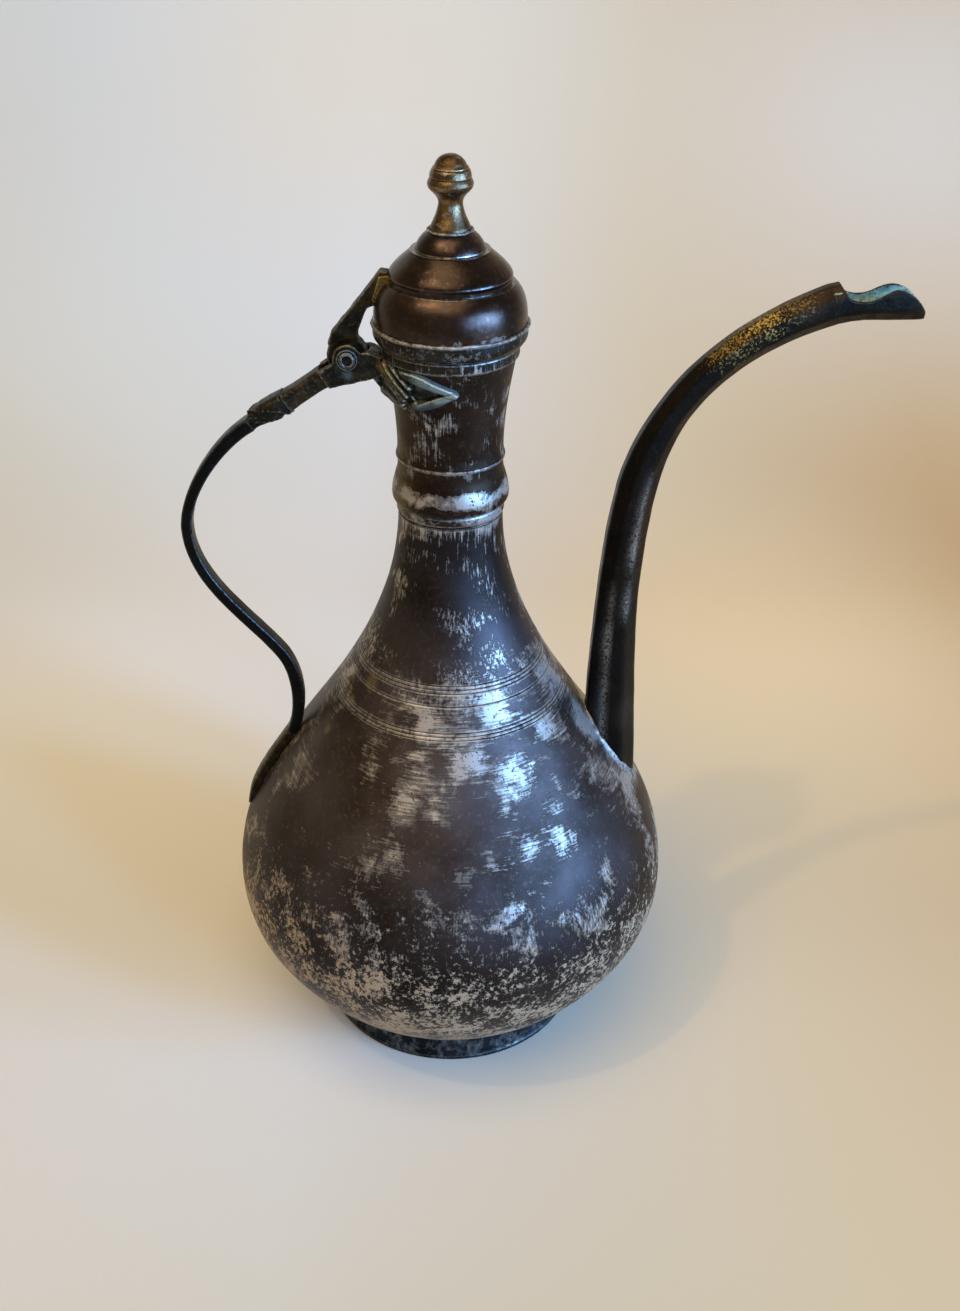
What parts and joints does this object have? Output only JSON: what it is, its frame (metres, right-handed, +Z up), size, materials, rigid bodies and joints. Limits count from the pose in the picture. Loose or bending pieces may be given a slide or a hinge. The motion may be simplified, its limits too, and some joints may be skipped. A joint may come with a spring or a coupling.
{
  "type": "long-spouted ewer with hinged lid",
  "caption": "Pear-shaped copper ewer on a ring foot with a tall S-curved faceted spout, open beak, slim S-shaped handle and hinged tiered lid with brass finial.",
  "frame": {"origin": "middle of the foot ring on the plane it stands on", "axes": "+Z up along the pot's axis, +X toward the spout, handle and hinge toward -X, +Y to the back as seen with the spout on the right"},
  "size_m": [0.2427, 0.162, 0.3297],
  "materials": {
    "body_copper": "raised copper sheet with a dark brown patina and worn remains of hot-wiped tin",
    "foot_copper": "tinned copper band gone blue-black, mottled with pale grey",
    "trim_copper": "narrow copper bands, dark patina rubbed lighter on the edges",
    "lid_copper": "smooth dark brown patinated copper, half gloss",
    "spout_copper": "brazed sheet pipe worked to eight sides, near-black patina with golden rubbed facets",
    "cast_bronze": "cast bronze, dark olive-brown with traces of verdigris",
    "arm_bronze": "cast bronze rubbed to a yellowish brown",
    "handle_bronze": "hammered bar, almost black from handling",
    "hinge_iron": "dark riveted pin",
    "solder": "dull grey soft solder",
    "ochre_solder": "soft solder stained ochre",
    "finial_brass": "turned brass, aged and dulled"
  },
  "bodies": {
    "pot": {"foot_ring": "foot_copper", "bowl": "body_copper", "shoulder": "body_copper", "neck_collar": "trim_copper", "neck_bead": "body_copper", "neck_tube": "body_copper", "mouth_ring": "trim_copper", "spout_solder": "solder", "spout_pipe": "spout_copper", "spout_beak": "spout_copper", "handle_saddle": "cast_bronze", "hinge_block": "cast_bronze", "handle_arm": "arm_bronze", "handle_leaf": "cast_bronze", "handle_grip": "handle_bronze", "handle_tail": "handle_bronze", "hinge_pin": "hinge_iron", "hinge_washer": "hinge_iron"},
    "lid": {"lid_rim": "trim_copper", "lid_solder": "solder", "lid_drum": "lid_copper", "lid_dome": "lid_copper", "lid_cap": "lid_copper", "lid_flange": "trim_copper", "finial_solder": "solder", "finial": "finial_brass", "finial_washer": "finial_brass", "lid_strap": "cast_bronze", "strap_solder": "ochre_solder"}
  },
  "joints": [
    {"name": "lid_hinge", "type": "hinge", "parent": "pot", "child": "lid", "pos_m": [-0.0331, 0, 0.2668], "axis": [0, -1, 0], "range_deg": [0, 95]}
  ]
}
